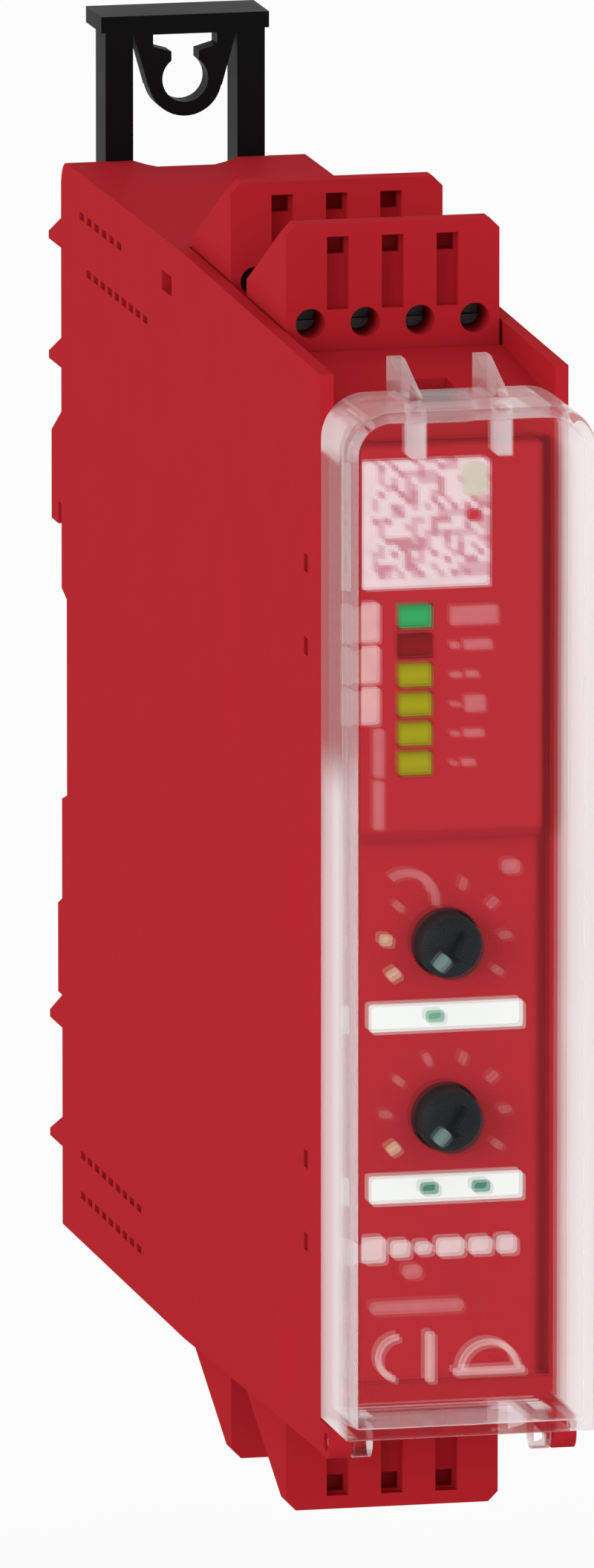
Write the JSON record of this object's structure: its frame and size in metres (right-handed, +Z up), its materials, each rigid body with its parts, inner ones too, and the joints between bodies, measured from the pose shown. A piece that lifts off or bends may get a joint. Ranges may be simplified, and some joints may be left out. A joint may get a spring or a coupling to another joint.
{
  "type": "safety relay",
  "caption": "Narrow red rail-mounted relay module with plug-in terminal blocks at both ends, selector dials under a clear hinged cover, and a sprung rail latch.",
  "frame": {"origin": "on the plane that seats on the rail, at mid width, level with the rail's centre line", "axes": "+X across the width to the right seen from the front, +Y out of the back towards the rail, +Z up; the front faces -Y"},
  "size_m": [0.0226, 0.1254, 0.1219],
  "materials": {
    "red_plastic": "fine moulded texture",
    "panel_red": "satin",
    "clear_plastic": "clear polycarbonate",
    "black_plastic": "satin",
    "knob_grey": "satin",
    "component_black": "matt",
    "board_green": "solder resist",
    "relay_grey": "matt",
    "can_aluminium": "bare",
    "core_iron": "ferrite",
    "connector_black": "matt",
    "contact_tin": "tinned",
    "plated_steel": "zinc plated",
    "spring_steel": "bare",
    "lamp_chip": "clear",
    "lamp_green": "lit",
    "lamp_red": "unlit",
    "lamp_yellow": "lit"
  },
  "bodies": {
    "housing": {"board_link": "connector_black", "bottom_front_header": "connector_black", "bottom_front_pins": "contact_tin", "bottom_rear_header": "connector_black", "bottom_rear_pins": "contact_tin", "bottom_terminal_board": "board_green", "capacitors": "can_aluminium", "controllers": "component_black", "front_board": "board_green", "front_panel": "panel_red", "green_lamp_window": "lamp_green", "housing_shell": "red_plastic", "latch_spring": "spring_steel", "lower_selector_switch": "component_black", "main_board": "board_green", "red_lamp_window": "lamp_red", "safety_relay_a": "relay_grey", "safety_relay_b": "relay_grey", "side_cover": "red_plastic", "status_lamps": "lamp_chip", "top_front_header": "connector_black", "top_front_pins": "contact_tin", "top_rear_header": "connector_black", "top_rear_pins": "contact_tin", "top_terminal_board": "board_green", "transformer": "core_iron", "upper_selector_switch": "component_black", "yellow_lamp_windows": "lamp_yellow"},
    "cover": {"clear_cover": "clear_plastic"},
    "upper_slide": {"mounting_slide": "black_plastic"},
    "lower_latch": {"rail_latch": "black_plastic"},
    "upper_knob": {"upper_selector_knob": "knob_grey"},
    "lower_knob": {"lower_selector_knob": "knob_grey"},
    "top_rear_block": {"top_rear_plug": "red_plastic", "top_rear_clamps": "plated_steel", "top_rear_screws": "plated_steel", "top_rear_contacts": "contact_tin"},
    "top_front_block": {"top_front_plug": "red_plastic", "top_front_clamps": "plated_steel", "top_front_screws": "plated_steel", "top_front_contacts": "contact_tin"},
    "bottom_rear_block": {"bottom_rear_plug": "red_plastic", "bottom_rear_clamps": "plated_steel", "bottom_rear_screws": "plated_steel", "bottom_rear_contacts": "contact_tin"},
    "bottom_front_block": {"bottom_front_plug": "red_plastic", "bottom_front_clamps": "plated_steel", "bottom_front_screws": "plated_steel", "bottom_front_contacts": "contact_tin"}
  },
  "joints": [
    {"name": "cover_hinge", "type": "hinge", "parent": "housing", "child": "cover", "pos_m": [0, -0.1104, -0.0472], "axis": [1, 0, 0], "range_deg": [0, 105]},
    {"name": "slide_travel", "type": "slide", "parent": "housing", "child": "upper_slide", "axis": [0, 0, 1], "range_m": [-0.0114, 0]},
    {"name": "latch_pull", "type": "slide", "parent": "housing", "child": "lower_latch", "axis": [0, 0, -1], "range_m": [0, 0.004], "stiffness_N_per_m": 800, "springref_m": -0.003, "deforming": ["latch_spring"]},
    {"name": "upper_dial", "type": "hinge", "parent": "housing", "child": "upper_knob", "pos_m": [0, -0.105, -0.0028], "axis": [0, 1, 0], "range_deg": [0, 300]},
    {"name": "lower_dial", "type": "hinge", "parent": "housing", "child": "lower_knob", "pos_m": [0, -0.105, -0.01855], "axis": [0, 1, 0], "range_deg": [0, 300]},
    {"name": "top_rear_unplug", "type": "slide", "parent": "housing", "child": "top_rear_block", "axis": [0, 0, 1], "range_m": [0, 0.014]},
    {"name": "top_front_unplug", "type": "slide", "parent": "housing", "child": "top_front_block", "axis": [0, 0, 1], "range_m": [0, 0.014]},
    {"name": "bottom_rear_unplug", "type": "slide", "parent": "housing", "child": "bottom_rear_block", "axis": [0, 0, -1], "range_m": [0, 0.014]},
    {"name": "bottom_front_unplug", "type": "slide", "parent": "housing", "child": "bottom_front_block", "axis": [0, 0, -1], "range_m": [0, 0.014]}
  ]
}
